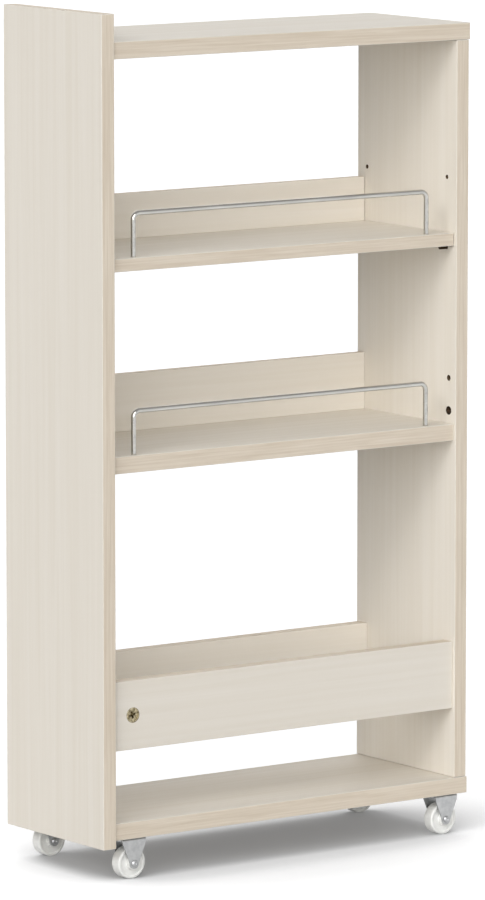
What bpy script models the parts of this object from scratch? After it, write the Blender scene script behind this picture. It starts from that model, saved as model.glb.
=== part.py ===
"""Slim rolling pantry cart: boards on four rigid casters, a lift-out shelf on pins, two wire rails.

Metres, +Z up. X runs along the cart from the tall facing panel (-X) to the end panel (+X),
-Y is the open front, and the floor is at Z = 0 under the middle of the cart.
"""

import math

import bmesh
import bpy
from mathutils import Matrix, Vector

# Driving dimensions of the carcass
cart_length = 0.452
panel_thickness = 0.015
board_thickness = 0.017
facing_panel_width = 0.170
facing_panel_height = 0.822
facing_panel_reveal = 0.002
end_overhang = 0.0015
panel_drop = 0.0075
top_set_down = 0.0275
edge_round = 0.0008

# Shelves, back rails and guard boards, stacked from the bottom board up
shelf_setback = 0.0035
lower_shelf_above_bottom = 0.3465
upper_shelf_above_lower = 0.1815
upper_shelf_thickness = 0.013
upper_shelf_end_clearance = 0.0008
back_rail_thickness = 0.009
upper_back_rail_height = 0.045
lower_back_rail_height = 0.058
guard_above_bottom = 0.0715
guard_height = 0.069
guard_thickness = 0.015

# Bent wire rails let into the shelves
wire_diameter = 0.005
wire_height = 0.043
wire_bend_radius = 0.0065
wire_edge_inset = 0.007
wire_end_inset = 0.0305
wire_socket_depth = 0.008

# Shelf pins and the drilled rows of the two panels
pin_diameter = 0.004
pin_length = 0.0175
pin_hole_depth = 0.008
pin_edge_inset = 0.016
pin_row_pitch = 0.071
insert_edge_inset = 0.0117
insert_diameter = 0.0084
insert_bore = 0.0052
insert_length = 0.011
spare_hole_above_insert = 0.0333
spare_hole_diameter = 0.006

# Cam locks: a bolt in one board is drawn in by a cam in the other
cam_diameter = 0.015
cam_height = 0.012
cam_reach = 0.024
cam_spread = 0.080
cam_recess_length = 0.0085
cam_recess_width = 0.0018
cam_recess_depth = 0.0022
bolt_thread_diameter = 0.0054
bolt_thread_length = 0.010
bolt_stem_diameter = 0.0064
bolt_neck_diameter = 0.0044
bolt_neck_length = 0.003
bolt_head_length = 0.004

# Countersunk screws through the end panel
screw_diameter = 0.0048
screw_length = 0.045
screw_head_diameter = 0.009
screw_head_height = 0.0035
screw_spread = 0.090

# Rigid casters
caster_height = 0.0415
caster_end_inset = 0.0245
caster_edge_inset = 0.002
wheel_diameter = 0.032
wheel_width = 0.013
wheel_hub_diameter = 0.013
wheel_face_dish = 0.0012
wheel_rim = 0.0028
fork_width = 0.022
fork_length = 0.028
fork_steel = 0.0016
fork_bend_radius = 0.0026
fork_foot_radius = 0.0052
fork_waist = 0.020
axle_diameter = 0.005
axle_head_diameter = 0.0072
axle_head_height = 0.0016
fork_screw_hole = 0.0038
fork_screw_pitch = 0.019

# Clearances
seat_gap = 0.0003
fit_clearance = 0.00025
wheel_bore_clearance = 0.0002
cut_margin = 0.002

# Facets
round_steps = 16
axle_steps = 12
bolt_steps = 8
wheel_steps = 24
arc_steps = 5

# Levels and planes that follow from the dimensions above
outer_face = -cart_length / 2
inner_face = outer_face + panel_thickness
board_end = cart_length / 2
end_panel_outer = board_end - end_overhang
end_panel_inner = end_panel_outer - panel_thickness
bay_middle = (end_panel_inner + inner_face) / 2
bottom_top = caster_height + board_thickness
facing_bottom = caster_height - panel_drop
facing_top = facing_bottom + facing_panel_height
top_board_top = facing_top - top_set_down
top_board_under = top_board_top - board_thickness
lower_shelf_under = bottom_top + lower_shelf_above_bottom
lower_shelf_top = lower_shelf_under + board_thickness
upper_shelf_under = lower_shelf_top + upper_shelf_above_lower
upper_shelf_top = upper_shelf_under + upper_shelf_thickness
board_width = facing_panel_width - 2 * facing_panel_reveal
shelf_width = board_width - 2 * shelf_setback
guard_bottom = bottom_top + guard_above_bottom
guard_middle = guard_bottom + guard_height / 2
pin_y = board_width / 2 - pin_edge_inset
pin_level = upper_shelf_under - seat_gap - pin_diameter / 2
end_panel_bottom = bottom_top + seat_gap
end_panel_top = top_board_under - seat_gap
insert_level = (end_panel_bottom + end_panel_top) / 2
insert_y = -(board_width / 2 - insert_edge_inset)
caster_y = board_width / 2 - caster_edge_inset - fork_width / 2
caster_left = inner_face + seat_gap + caster_end_inset
caster_right = board_end - caster_end_inset
axle_level = wheel_diameter / 2
cam_bore_radius = bolt_stem_diameter / 2 + fit_clearance + wheel_bore_clearance

X_AXIS = Vector((1, 0, 0))
Y_AXIS = Vector((0, 1, 0))
Z_AXIS = Vector((0, 0, 1))

for old in list(bpy.data.objects):
    bpy.data.objects.remove(old, do_unlink=True)

cart = bpy.data.collections.new("rolling_pantry_cart")
cutters = bpy.data.collections.new("cutters")
bpy.context.scene.collection.children.link(cart)
bpy.context.scene.collection.children.link(cutters)


def material(name, colour, roughness, metallic=0.0):
    made = bpy.data.materials.new(name)
    made.use_nodes = True
    shader = made.node_tree.nodes["Principled BSDF"]
    shader.inputs["Base Color"].default_value = (*colour, 1.0)
    shader.inputs["Roughness"].default_value = roughness
    shader.inputs["Metallic"].default_value = metallic
    return made


white_wood = material("white_wood_laminate", (0.76, 0.72, 0.64), 0.5)
chrome_wire = material("bright_steel_wire", (0.75, 0.77, 0.78), 0.2, 1.0)
zinc_steel = material("zinc_plated_steel", (0.55, 0.56, 0.57), 0.35, 1.0)
cam_zinc = material("yellow_zinc_casting", (0.55, 0.46, 0.30), 0.4, 1.0)
white_nylon = material("white_nylon", (0.85, 0.85, 0.83), 0.4)


def add_node(name, mesh, finish, place=None, parent=None):
    """An object of the cart, with its origin at place and its place kept under any parent."""
    node = bpy.data.objects.new(name, mesh)
    cart.objects.link(node)
    node.matrix_world = place if place is not None else Matrix()
    if parent is not None:
        node.parent = parent
        node.matrix_parent_inverse = Matrix.Translation(-parent.location)
    if not node.data.materials:
        node.data.materials.append(finish)
    return node


def frame_at(point, along, across=None):
    """A place whose local Z points along, and whose local X points across when that is given."""
    if across is None:
        return Matrix.Translation(point) @ along.to_track_quat("Z", "Y").to_matrix().to_4x4()
    third = along.cross(across)
    turn = Matrix((across, third, along)).transposed().to_4x4()
    return Matrix.Translation(point) @ turn


def box_mesh(name, size):
    made = bmesh.new()
    bmesh.ops.create_cube(made, size=1.0, matrix=Matrix.Diagonal((*size, 1.0)))
    mesh = bpy.data.meshes.new(name)
    made.to_mesh(mesh)
    made.free()
    return mesh


def rod_mesh(name, diameter, length, start=0.0, steps=round_steps):
    """A rod along local Z from start to start + length."""
    made = bmesh.new()
    bmesh.ops.create_cone(
        made,
        cap_ends=True,
        segments=steps,
        radius1=diameter / 2,
        radius2=diameter / 2,
        depth=length,
        matrix=Matrix.Translation((0, 0, start + length / 2)),
    )
    mesh = bpy.data.meshes.new(name)
    made.to_mesh(mesh)
    made.free()
    return mesh


def evaluated_mesh(source, name):
    """The mesh of an object with its modifiers applied, welded, after which the object is removed."""
    bpy.context.view_layer.update()
    graph = bpy.context.evaluated_depsgraph_get()
    mesh = bpy.data.meshes.new_from_object(source.evaluated_get(graph))
    mesh.name = name
    made = bmesh.new()
    made.from_mesh(mesh)
    bmesh.ops.remove_doubles(made, verts=made.verts, dist=1e-6)
    bmesh.ops.recalc_face_normals(made, faces=made.faces)
    made.to_mesh(mesh)
    made.free()
    bpy.data.objects.remove(source, do_unlink=True)
    return mesh


def turned_mesh(name, profile, steps=round_steps):
    """A solid of revolution about local Z from (radius, level) points that start and end on the axis."""
    line = bpy.data.meshes.new(name + "_profile")
    points = [(radius, 0, level) for radius, level in profile]
    line.from_pydata(points, [(i, i + 1) for i in range(len(points) - 1)], [])
    blank = bpy.data.objects.new(name + "_blank", line)
    cutters.objects.link(blank)
    screw = blank.modifiers.new("turn", "SCREW")
    screw.steps = steps
    screw.render_steps = steps
    screw.use_merge_vertices = True
    screw.merge_threshold = 1e-6
    screw.use_normal_calculate = True
    return evaluated_mesh(blank, name)


def outline_mesh(name, points, thickness):
    """A flat outline in local XY, thickened evenly about local Z = 0."""
    curve = bpy.data.curves.new(name + "_outline", "CURVE")
    curve.dimensions = "2D"
    curve.fill_mode = "BOTH"
    curve.extrude = thickness / 2
    spline = curve.splines.new("POLY")
    spline.points.add(len(points) - 1)
    for point, (across, up) in zip(spline.points, points):
        point.co = (across, up, 0, 1)
    spline.use_cyclic_u = True
    blank = bpy.data.objects.new(name + "_blank", curve)
    cutters.objects.link(blank)
    return evaluated_mesh(blank, name)


def cutter(name, mesh, place):
    tool = bpy.data.objects.new(name, mesh)
    tool.matrix_world = place
    tool.hide_render = True
    tool.display_type = "WIRE"
    return tool


def cut(node, tool):
    """Adds tool to the shapes that one Boolean takes out of node."""
    name = node.name + "_cuts"
    tools = bpy.data.collections.get(name)
    if tools is None:
        tools = bpy.data.collections.new(name)
        cutters.children.link(tools)
        boolean = node.modifiers.new("cuts", "BOOLEAN")
        boolean.operation = "DIFFERENCE"
        boolean.solver = "EXACT"
        boolean.operand_type = "COLLECTION"
        boolean.collection = tools
    tools.objects.link(tool)


def drill(node, name, point, along, diameter, depth, steps=round_steps):
    """A bore into node that starts a little outside point and ends depth past it."""
    mesh = rod_mesh(name, diameter, depth + cut_margin, -cut_margin, steps)
    cut(node, cutter(name, mesh, frame_at(Vector(point), along)))


def board(name, low, high, parent=None):
    """A board between two corners, with its long edges slightly rounded."""
    low = Vector(low)
    high = Vector(high)
    middle = Matrix.Translation((low + high) / 2)
    node = add_node(name, box_mesh(name, high - low), white_wood, middle, parent)
    rounded = node.modifiers.new("edge_round", "BEVEL")
    rounded.width = edge_round
    rounded.segments = 1
    return node


def arc(centre, radius, first, last, steps=arc_steps):
    """Points on an arc, from angle first to angle last in degrees."""
    turns = [math.radians(first + (last - first) * i / steps) for i in range(steps + 1)]
    return [(centre[0] + radius * math.cos(turn), centre[1] + radius * math.sin(turn)) for turn in turns]


# Carcass boards
half_facing = facing_panel_width / 2
half_board = board_width / 2
half_shelf = shelf_width / 2
facing_panel = board(
    "facing_panel", (outer_face, -half_facing, facing_bottom), (inner_face, half_facing, facing_top)
)
end_panel = board(
    "end_panel",
    (end_panel_inner, -half_board, end_panel_bottom),
    (end_panel_outer, half_board, end_panel_top),
)
top_board = board(
    "top_board", (inner_face + seat_gap, -half_board, top_board_under), (board_end, half_board, top_board_top)
)
bottom_board = board(
    "bottom_board", (inner_face + seat_gap, -half_board, caster_height), (board_end, half_board, bottom_top)
)
fixed_left = inner_face + seat_gap
fixed_right = end_panel_inner - seat_gap
lower_shelf = board(
    "lower_shelf", (fixed_left, -half_shelf, lower_shelf_under), (fixed_right, half_shelf, lower_shelf_top)
)
lower_rail_foot = lower_shelf_top + seat_gap
lower_back_rail = board(
    "lower_back_rail",
    (fixed_left, half_shelf - back_rail_thickness, lower_rail_foot),
    (fixed_right, half_shelf, lower_rail_foot + lower_back_rail_height),
)
guards = {}
for side, facing in (("front", -1), ("rear", 1)):
    faces = sorted((facing * half_shelf, facing * (half_shelf - guard_thickness)))
    guards[side] = board(
        side + "_guard",
        (fixed_left, faces[0], guard_bottom),
        (fixed_right, faces[1], guard_bottom + guard_height),
    )

# The lift-out shelf, carried by an empty on its lift axis
shelf_lift = bpy.data.objects.new("upper_shelf_lift", None)
cart.objects.link(shelf_lift)
shelf_lift.location = (bay_middle, 0, upper_shelf_under)
loose_left = inner_face + upper_shelf_end_clearance
loose_right = end_panel_inner - upper_shelf_end_clearance
upper_shelf = board(
    "upper_shelf",
    (loose_left, -half_shelf, upper_shelf_under),
    (loose_right, half_shelf, upper_shelf_top),
    shelf_lift,
)
upper_rail_foot = upper_shelf_top + seat_gap
upper_back_rail = board(
    "upper_back_rail",
    (loose_left, half_shelf - back_rail_thickness, upper_rail_foot),
    (loose_right, half_shelf, upper_rail_foot + upper_back_rail_height),
    shelf_lift,
)


# Bent wire rails, each with its two legs let into the shelf
def wire_rail(name, shelf, shelf_top, parent=None):
    leg_y = -half_shelf + wire_edge_inset
    left = inner_face + wire_end_inset
    right = end_panel_inner - wire_end_inset
    bar = shelf_top + wire_height
    foot = shelf_top - wire_socket_depth + seat_gap
    turn = wire_bend_radius
    route = [(left, foot)]
    route += arc((left + turn, bar - turn), turn, 180, 90)
    route += arc((right - turn, bar - turn), turn, 90, 0)
    route += [(right, foot)]
    curve = bpy.data.curves.new(name, "CURVE")
    curve.dimensions = "3D"
    curve.bevel_depth = wire_diameter / 2
    curve.bevel_resolution = 3
    curve.use_fill_caps = True
    spline = curve.splines.new("POLY")
    spline.points.add(len(route) - 1)
    for point, (along, up) in zip(spline.points, route):
        point.co = (along, leg_y, up, 1)
    wire = add_node(name, curve, chrome_wire, None, parent)
    for end, x in (("left", left), ("right", right)):
        socket = wire_diameter + 2 * fit_clearance
        drill(shelf, f"{name}_{end}_socket", (x, leg_y, shelf_top), -Z_AXIS, socket, wire_socket_depth)
    return wire


upper_wire_rail = wire_rail("upper_wire_rail", upper_shelf, upper_shelf_top, shelf_lift)
lower_wire_rail = wire_rail("lower_wire_rail", lower_shelf, lower_shelf_top)

# Shelf pins: two rows of holes in each panel, and a pin in each hole of the lower row
pin_mesh = turned_mesh(
    "shelf_pin",
    [
        (0, 0),
        (pin_diameter / 2, 0),
        (pin_diameter / 2, pin_length - edge_round),
        (pin_diameter / 2 - edge_round, pin_length),
        (0, pin_length),
    ],
)
pin_hole = pin_diameter + 2 * fit_clearance
for end, panel, face, into in (
    ("left", facing_panel, inner_face, -X_AXIS),
    ("right", end_panel, end_panel_inner, X_AXIS),
):
    for side, y in (("front", -pin_y), ("rear", pin_y)):
        name = f"shelf_pin_{side}_{end}"
        for row, level in (("lower", pin_level), ("upper", pin_level + pin_row_pitch)):
            drill(panel, f"{name}_{row}_hole", (face, y, level), into, pin_hole, pin_hole_depth)
        seat = Vector((face, y, pin_level))
        bottom = seat + into * (pin_hole_depth - fit_clearance)
        add_node(name, pin_mesh, zinc_steel, frame_at(bottom, -into))

# The spare drilling in the end panel: a threaded insert and a small hole above it
insert_mesh = rod_mesh("threaded_insert", insert_diameter, insert_length)
insert_place = frame_at(Vector((end_panel_inner + seat_gap, insert_y, insert_level)), X_AXIS)
threaded_insert = add_node("threaded_insert", insert_mesh, cam_zinc, insert_place)
insert_mouth = insert_place.translation
drill(threaded_insert, "insert_thread", insert_mouth, X_AXIS, insert_bore, insert_length + cut_margin)
insert_face = (end_panel_inner, insert_y, insert_level)
insert_hole = insert_diameter + 2 * fit_clearance
drill(end_panel, "insert_hole", insert_face, X_AXIS, insert_hole, insert_length + 2 * seat_gap)
spare_face = (end_panel_inner, insert_y, insert_level + spare_hole_above_insert)
drill(end_panel, "spare_hole", spare_face, X_AXIS, spare_hole_diameter, pin_hole_depth)


# Cam locks
def cam_lock_mesh():
    """A cam with a crossed driver recess in its face and a side bore for the bolt, face up at Z = 0."""
    blank = bpy.data.objects.new("cam_blank", rod_mesh("cam_blank", cam_diameter, cam_height, -cam_height))
    cutters.objects.link(blank)
    recess = (cam_recess_length, cam_recess_width, 2 * cam_recess_depth)
    quarter_turn = Matrix.Rotation(math.pi / 2, 4, "Z")
    for name, place in (("cam_recess_along", Matrix()), ("cam_recess_across", quarter_turn)):
        cut(blank, cutter(name, box_mesh(name, recess), place))
    return evaluated_mesh(blank, "cam_lock")


stem_end = cam_reach - bolt_neck_length / 2
head_start = stem_end + bolt_neck_length
bolt_mesh = turned_mesh(
    "cam_bolt",
    [
        (0, -bolt_thread_length),
        (bolt_thread_diameter / 2 - edge_round, -bolt_thread_length),
        (bolt_thread_diameter / 2, edge_round - bolt_thread_length),
        (bolt_thread_diameter / 2, seat_gap),
        (bolt_stem_diameter / 2, seat_gap),
        (bolt_stem_diameter / 2, stem_end),
        (bolt_neck_diameter / 2, stem_end),
        (bolt_neck_diameter / 2, head_start),
        (bolt_stem_diameter / 2, head_start),
        (bolt_stem_diameter / 2, head_start + bolt_head_length),
        (0, head_start + bolt_head_length),
    ],
    bolt_steps,
)
cam_mesh = cam_lock_mesh()


def cam_joint(name, seat, along, face, thickness, holder, carrier):
    """A bolt screwed into holder at seat, and a cam in carrier's face that draws it along."""
    seat = Vector(seat)
    middle = seat + along * cam_reach
    face_point = middle + face * thickness / 2
    thread_hole = bolt_thread_diameter + 2 * fit_clearance
    drill(holder, name + "_thread", seat, -along, thread_hole, bolt_thread_length + seat_gap, bolt_steps)
    drill(carrier, name + "_stem", seat, along, 2 * cam_bore_radius, cam_reach, bolt_steps)
    pocket = cam_diameter + 2 * fit_clearance
    cam_seat = face_point - face * seat_gap
    drill(carrier, name + "_pocket", face_point, -face, pocket, cam_height + 2 * seat_gap)
    add_node(name + "_bolt", bolt_mesh, cam_zinc, frame_at(seat, along))
    cam = add_node(name + "_cam", cam_mesh.copy(), cam_zinc, frame_at(cam_seat, face, -along))
    head_room = cam_reach + head_start - stem_end + bolt_head_length + seat_gap
    drill(cam, name + "_cam_mouth", seat, along, 2 * cam_bore_radius, head_room, bolt_steps)


cam_rows = (("front", -cam_spread / 2), ("rear", cam_spread / 2))
for side, y in cam_rows:
    top_seat = (inner_face, y, top_board_under + board_thickness / 2)
    cam_joint(f"top_{side}", top_seat, X_AXIS, -Z_AXIS, board_thickness, facing_panel, top_board)
    shelf_seat = (inner_face, y, lower_shelf_under + board_thickness / 2)
    cam_joint(f"shelf_{side}", shelf_seat, X_AXIS, -Z_AXIS, board_thickness, facing_panel, lower_shelf)
    bottom_seat = (inner_face, y, caster_height + board_thickness / 2)
    cam_joint(f"bottom_{side}", bottom_seat, X_AXIS, -Z_AXIS, board_thickness, facing_panel, bottom_board)
    end_middle = end_panel_inner + panel_thickness / 2
    head_seat = (end_middle, y, top_board_under)
    cam_joint(f"end_top_{side}", head_seat, -Z_AXIS, X_AXIS, panel_thickness, top_board, end_panel)
    foot_seat = (end_middle, y, bottom_top)
    cam_joint(f"end_bottom_{side}", foot_seat, Z_AXIS, X_AXIS, panel_thickness, bottom_board, end_panel)
guard_y = half_shelf - guard_thickness / 2
for side, facing in (("front", -1), ("rear", 1)):
    guard_seat = (inner_face, facing * guard_y, guard_middle)
    guard = guards[side]
    cam_joint(f"{side}_guard", guard_seat, X_AXIS, facing * Y_AXIS, guard_thickness, facing_panel, guard)

# Screws through the end panel into the fixed shelf and the guards
screw_mesh = turned_mesh(
    "panel_screw",
    [
        (0, 0),
        (screw_head_diameter / 2, 0),
        (screw_head_diameter / 2, edge_round),
        (screw_diameter / 2, screw_head_height),
        (screw_diameter / 2, screw_length - screw_diameter),
        (0, screw_length),
    ],
)
sink_mesh = turned_mesh(
    "screw_sink",
    [
        (0, -cut_margin),
        (screw_head_diameter / 2 + fit_clearance, -cut_margin),
        (screw_head_diameter / 2 + fit_clearance, seat_gap + edge_round),
        (screw_diameter / 2 + fit_clearance, seat_gap + screw_head_height),
        (screw_diameter / 2 + fit_clearance, screw_length + cut_margin),
        (0, screw_length + cut_margin),
    ],
)


def panel_screw(name, y, level, held):
    head = Vector((end_panel_outer - seat_gap, y, level))
    add_node(name, screw_mesh, zinc_steel, frame_at(head, -X_AXIS))
    sink = cutter(name + "_sink", sink_mesh, frame_at(head, -X_AXIS))
    cut(end_panel, sink)
    cut(held, sink)


for side, facing in (("front", -1), ("rear", 1)):
    shelf_screw_level = lower_shelf_under + board_thickness / 2
    panel_screw(f"shelf_screw_{side}", facing * screw_spread / 2, shelf_screw_level, lower_shelf)
    panel_screw(f"guard_screw_{side}", facing * guard_y, guard_middle, guards[side])

# Rigid casters: a pressed fork, a nylon wheel and a riveted axle
fork_half = fork_width / 2
fork_foot = axle_level - fork_foot_radius
fork_top = caster_height - seat_gap
wheel_rim_radius = wheel_diameter / 2
wheel_half = wheel_width / 2
hub_half = fork_half - fork_steel - seat_gap
rim_inside = wheel_rim_radius - wheel_rim
bore_radius = axle_diameter / 2 + wheel_bore_clearance
hub_radius = wheel_hub_diameter / 2
wheel_profile = [
    (bore_radius, hub_half),
    (hub_radius, hub_half),
    (hub_radius, wheel_half - wheel_face_dish),
    (rim_inside, wheel_half - wheel_face_dish),
    (rim_inside, wheel_half),
    (wheel_rim_radius - edge_round, wheel_half),
    (wheel_rim_radius, wheel_half - 2 * edge_round),
]
wheel_profile += [(radius, -level) for radius, level in reversed(wheel_profile)]
wheel_profile.append(wheel_profile[0])
wheel_mesh = turned_mesh("caster_wheel", wheel_profile, wheel_steps)

axle_half = fork_half + seat_gap
axle_head_radius = axle_head_diameter / 2
axle_end = [(axle_diameter / 2, axle_half)]
for angle in (90, 60, 30, 0):
    lean = math.radians(angle)
    axle_end.append((axle_head_radius * math.sin(lean), axle_half + axle_head_height * math.cos(lean)))
axle_profile = [(radius, -level) for radius, level in reversed(axle_end)] + axle_end
axle_mesh = turned_mesh("caster_axle", axle_profile, axle_steps)


def fork_mesh():
    """A strip of steel bent to an upside-down U, trimmed to tapered cheeks with round feet."""
    inner_bend = fork_bend_radius - fork_steel
    shoulder = fork_half - fork_bend_radius
    spring = fork_top - fork_bend_radius
    section = [(fork_half, fork_foot - cut_margin)]
    section += arc((shoulder, spring), fork_bend_radius, 0, 90, 4)
    section += arc((-shoulder, spring), fork_bend_radius, 90, 180, 4)
    section += [(-fork_half, fork_foot - cut_margin), (-fork_half + fork_steel, fork_foot - cut_margin)]
    section += arc((-shoulder, spring), inner_bend, 180, 90, 4)
    section += arc((shoulder, spring), inner_bend, 90, 0, 4)
    section += [(fork_half - fork_steel, fork_foot - cut_margin)]
    strip = bpy.data.objects.new("fork_strip", outline_mesh("fork_strip", section, fork_length))
    cutters.objects.link(strip)
    strip.matrix_world = Matrix.Rotation(math.pi / 2, 4, "Z") @ Matrix.Rotation(math.pi / 2, 4, "X")
    waist_level = (axle_level + fork_top) / 2
    half_length = fork_length / 2
    above = fork_top + cut_margin
    cheek = [(half_length + cut_margin, above), (-half_length - cut_margin, above)]
    cheek += [(-half_length, spring), (-fork_waist / 2, waist_level)]
    cheek += arc((0, axle_level), fork_foot_radius, 190, 350, 8)
    cheek += [(fork_waist / 2, waist_level), (half_length, spring)]
    trim = cutter(
        "fork_trim",
        outline_mesh("fork_trim", cheek, fork_width + 2 * cut_margin),
        Matrix.Rotation(math.pi / 2, 4, "X"),
    )
    cutters.objects.link(trim)
    trimmed = strip.modifiers.new("trim", "BOOLEAN")
    trimmed.operation = "INTERSECT"
    trimmed.solver = "EXACT"
    trimmed.object = trim
    tools = []
    hole = rod_mesh("fork_axle_hole", axle_diameter + 2 * fit_clearance, 2 * fork_width, -fork_width)
    tools.append(cutter("fork_axle_hole", hole, frame_at(Vector((0, 0, axle_level)), Y_AXIS)))
    for side in (-1, 1):
        hole = rod_mesh("fork_screw_hole", fork_screw_hole, fork_bend_radius + 2 * cut_margin)
        under = Vector((side * fork_screw_pitch / 2, 0, fork_top - fork_bend_radius - cut_margin))
        tools.append(cutter("fork_screw_hole", hole, frame_at(under, Z_AXIS)))
    for tool in tools:
        cut(strip, tool)
    turn = strip.matrix_world.copy()
    mesh = evaluated_mesh(strip, "caster_fork")
    mesh.transform(turn)
    return mesh


caster_fork = fork_mesh()
for end, x in (("left", caster_left), ("right", caster_right)):
    for side, y in (("front", -caster_y), ("rear", caster_y)):
        corner = f"{side}_{end}"
        hub = Vector((x, y, axle_level))
        add_node(f"fork_{corner}", caster_fork, zinc_steel, Matrix.Translation((x, y, 0)))
        add_node(f"axle_{corner}", axle_mesh, zinc_steel, frame_at(hub, Y_AXIS))
        add_node(f"wheel_{corner}", wheel_mesh, white_nylon, frame_at(hub, Y_AXIS))

bpy.context.view_layer.update()
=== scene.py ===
"""Looks of the slim rolling pantry cart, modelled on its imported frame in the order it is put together.

Metres, +Z up: -X is the tall facing panel, +X the end panel, -Y the open front with the wire rails.
"""

import math

import bmesh
import bpy
from mathutils import Matrix, Vector


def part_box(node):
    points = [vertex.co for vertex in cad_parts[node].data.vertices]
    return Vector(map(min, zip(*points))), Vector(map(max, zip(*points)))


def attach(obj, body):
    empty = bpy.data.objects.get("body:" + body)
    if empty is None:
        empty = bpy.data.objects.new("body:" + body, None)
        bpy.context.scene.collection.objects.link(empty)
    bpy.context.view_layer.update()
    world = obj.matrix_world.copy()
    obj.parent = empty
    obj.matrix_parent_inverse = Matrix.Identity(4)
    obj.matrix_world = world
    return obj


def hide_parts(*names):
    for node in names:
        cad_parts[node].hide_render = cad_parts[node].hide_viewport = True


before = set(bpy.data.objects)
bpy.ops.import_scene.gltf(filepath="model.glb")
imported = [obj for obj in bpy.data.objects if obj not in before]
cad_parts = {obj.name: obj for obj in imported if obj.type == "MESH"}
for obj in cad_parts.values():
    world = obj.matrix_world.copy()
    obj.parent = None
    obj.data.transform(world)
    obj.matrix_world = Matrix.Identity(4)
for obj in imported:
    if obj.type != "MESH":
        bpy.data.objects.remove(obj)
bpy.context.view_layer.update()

# The facing panel: 15 mm particle board wrapped in white-washed wood-print foil, as all the boards
# are. A band of the same print, a little warmer, is ironed round its edges and trimmed to a small
# arris, and its inner face is bored for the cam bolts and for two rows of shelf pins.
arris = 0.0006
hole_clearance = 0.00025
hole_break = 0.0005
pin_row_pitch = Vector((0, 0, 0.071))
crease = math.radians(40)


def linear(hex_colour):
    """An sRGB hex colour as linear red, green, blue and alpha."""
    channels = [int(hex_colour[i : i + 2], 16) / 255 for i in (0, 2, 4)]
    return [c / 12.92 if c <= 0.04045 else ((c + 0.055) / 1.055) ** 2.4 for c in channels] + [1]


def new_material(name):
    """A node material with nothing in it yet."""
    material = bpy.data.materials.new(name)
    material.use_nodes = True
    material.node_tree.nodes.clear()
    return material


def add(material, kind, inputs, **settings):
    """Adds a node with its settings; each input is a value, or the socket that feeds it.

    Inputs go by name, or by number where a node has several of one name.
    """
    tree = material.node_tree
    node = tree.nodes.new(kind)
    for setting, value in settings.items():
        setattr(node, setting, value)
    for socket, value in inputs.items():
        if isinstance(value, bpy.types.NodeSocket):
            tree.links.new(value, node.inputs[socket])
        else:
            node.inputs[socket].default_value = value
    return node


def wood_print(name, along, pale, dark, streak_width, streak_length):
    """Foil printed with streaks of grain along one axis and embossed with fine pores."""
    material = new_material(name)
    place = add(material, "ShaderNodeTexCoord", {}).outputs["Object"]
    stretch = [1 / (streak_length if axis == along else streak_width) for axis in "XYZ"]
    streak_place = add(material, "ShaderNodeMapping", {"Vector": place, "Scale": stretch})
    streaks = add(
        material,
        "ShaderNodeTexNoise",
        {"Vector": streak_place.outputs[0], "Scale": 1, "Detail": 4, "Roughness": 0.6, "Distortion": 0.4},
    )
    tone = add(material, "ShaderNodeValToRGB", {"Fac": streaks.outputs[0]})
    tone.color_ramp.elements[0].position = 0.3
    tone.color_ramp.elements[0].color = linear(dark)
    tone.color_ramp.elements[1].position = 0.7
    tone.color_ramp.elements[1].color = linear(pale)
    # The real pores are about 0.3 mm wide; they are drawn wider, so as to show.
    pore_width, pore_length = 0.0007, 0.012
    pore_stretch = [1 / (pore_length if axis == along else pore_width) for axis in "XYZ"]
    pore_place = add(material, "ShaderNodeMapping", {"Vector": place, "Scale": pore_stretch})
    pores = add(material, "ShaderNodeTexNoise", {"Vector": pore_place.outputs[0], "Scale": 1, "Detail": 2})
    depth = add(
        material,
        "ShaderNodeMapRange",
        {"Value": pores.outputs[0], "From Min": 0.58, "From Max": 0.75, "To Min": 0, "To Max": 1},
    )
    stain = add(material, "ShaderNodeMapRange", {"Value": depth.outputs[0], "To Min": 0, "To Max": 0.25})
    colour = add(
        material,
        "ShaderNodeMix",
        {0: stain.outputs[0], 6: tone.outputs[0], 7: linear(dark)},
        data_type="RGBA",
    )
    gloss = add(
        material,
        "ShaderNodeMapRange",
        {"Value": streaks.outputs[0], "From Min": 0.3, "From Max": 0.7, "To Min": 0.64, "To Max": 0.56},
    )
    relief = add(
        material,
        "ShaderNodeBump",
        {"Strength": 0.25, "Distance": 0.00008, "Height": depth.outputs[0]},
        invert=True,
    )
    shader = add(
        material,
        "ShaderNodeBsdfPrincipled",
        {
            "Base Color": colour.outputs[2],
            "Roughness": gloss.outputs[0],
            "Normal": relief.outputs[0],
            "IOR": 1.48,
            "Specular IOR Level": 0.08,
        },
    )
    add(material, "ShaderNodeOutputMaterial", {"Surface": shader.outputs[0]})
    return material


# Foil is lacquered matt, so it hardly shines. It has long faint streaks, and the narrow band shows the
# same print finer and more strongly.
foils = {
    axis: wood_print(f"white_washed_foil_{axis}", axis, "E6E0D6", "E1DACE", 0.008, 0.4) for axis in "XZ"
}
bands = {
    axis: wood_print(f"ironed_edge_band_{axis}", axis, "E3D8C8", "D2C4B1", 0.0022, 0.09) for axis in "XYZ"
}

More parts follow.
